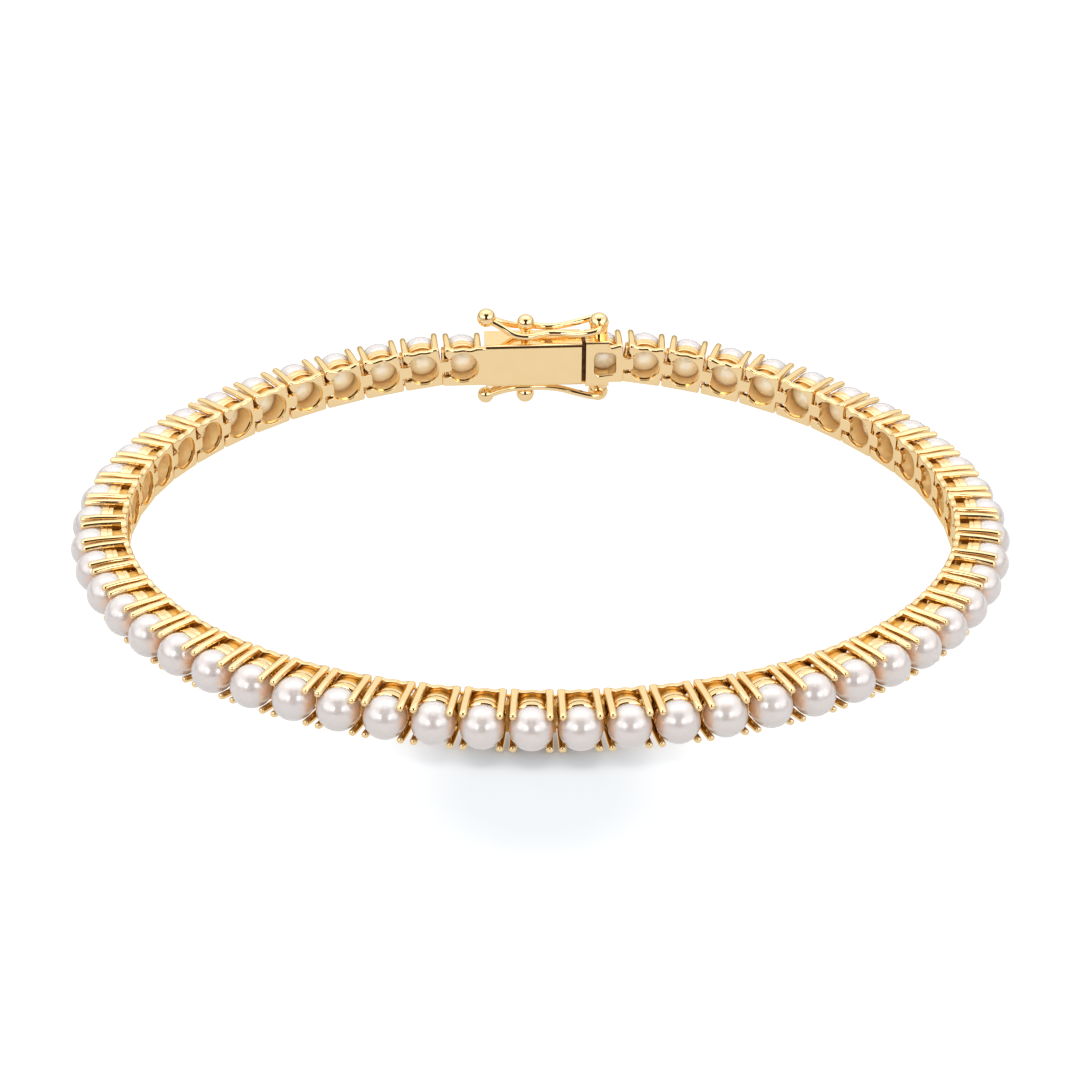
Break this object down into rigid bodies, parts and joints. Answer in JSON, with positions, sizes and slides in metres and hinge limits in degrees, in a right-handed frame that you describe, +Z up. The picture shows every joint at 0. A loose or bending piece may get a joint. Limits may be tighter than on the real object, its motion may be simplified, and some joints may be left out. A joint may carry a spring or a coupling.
{
  "type": "pearl tennis bracelet",
  "caption": "Flexible bracelet of round pearls in four-prong gold settings, hinged plate to plate, closed by a box clasp with a safety catch on each side.",
  "frame": {"origin": "middle of the bounding box, on the surface that the bracelet lies on", "axes": "+Z up off the surface, +Y towards the clasp, +X along the clasp from its box to its end piece"},
  "size_m": [0.0688, 0.057, 0.008],
  "materials": {
    "gold": "polished 18 carat yellow gold",
    "pearl": "white nacre with a soft lustre"
  },
  "bodies": {
    "bracelet": {"links_left_back": "gold", "pearls_left_back": "pearl", "links_left_front": "gold", "pearls_left_front": "pearl", "links_right_front": "gold", "pearls_right_front": "pearl", "links_right_back": "gold", "pearls_right_back": "pearl", "pearl_by_box": "pearl", "pearl_by_clasp_end": "pearl", "clasp_box": "gold", "clasp_end": "gold"},
    "catch_top": {"catch_top": "gold"},
    "catch_bottom": {"catch_bottom": "gold"}
  },
  "joints": [
    {"name": "catch_top_hinge", "type": "hinge", "parent": "bracelet", "child": "catch_top", "pos_m": [0.00622, 0.02579, 0.00668], "axis": [0, 1, 0], "range_deg": [0, 120]},
    {"name": "catch_bottom_hinge", "type": "hinge", "parent": "bracelet", "child": "catch_bottom", "pos_m": [0.00622, 0.02579, 0.00088], "axis": [0, -1, 0], "range_deg": [0, 120]}
  ]
}
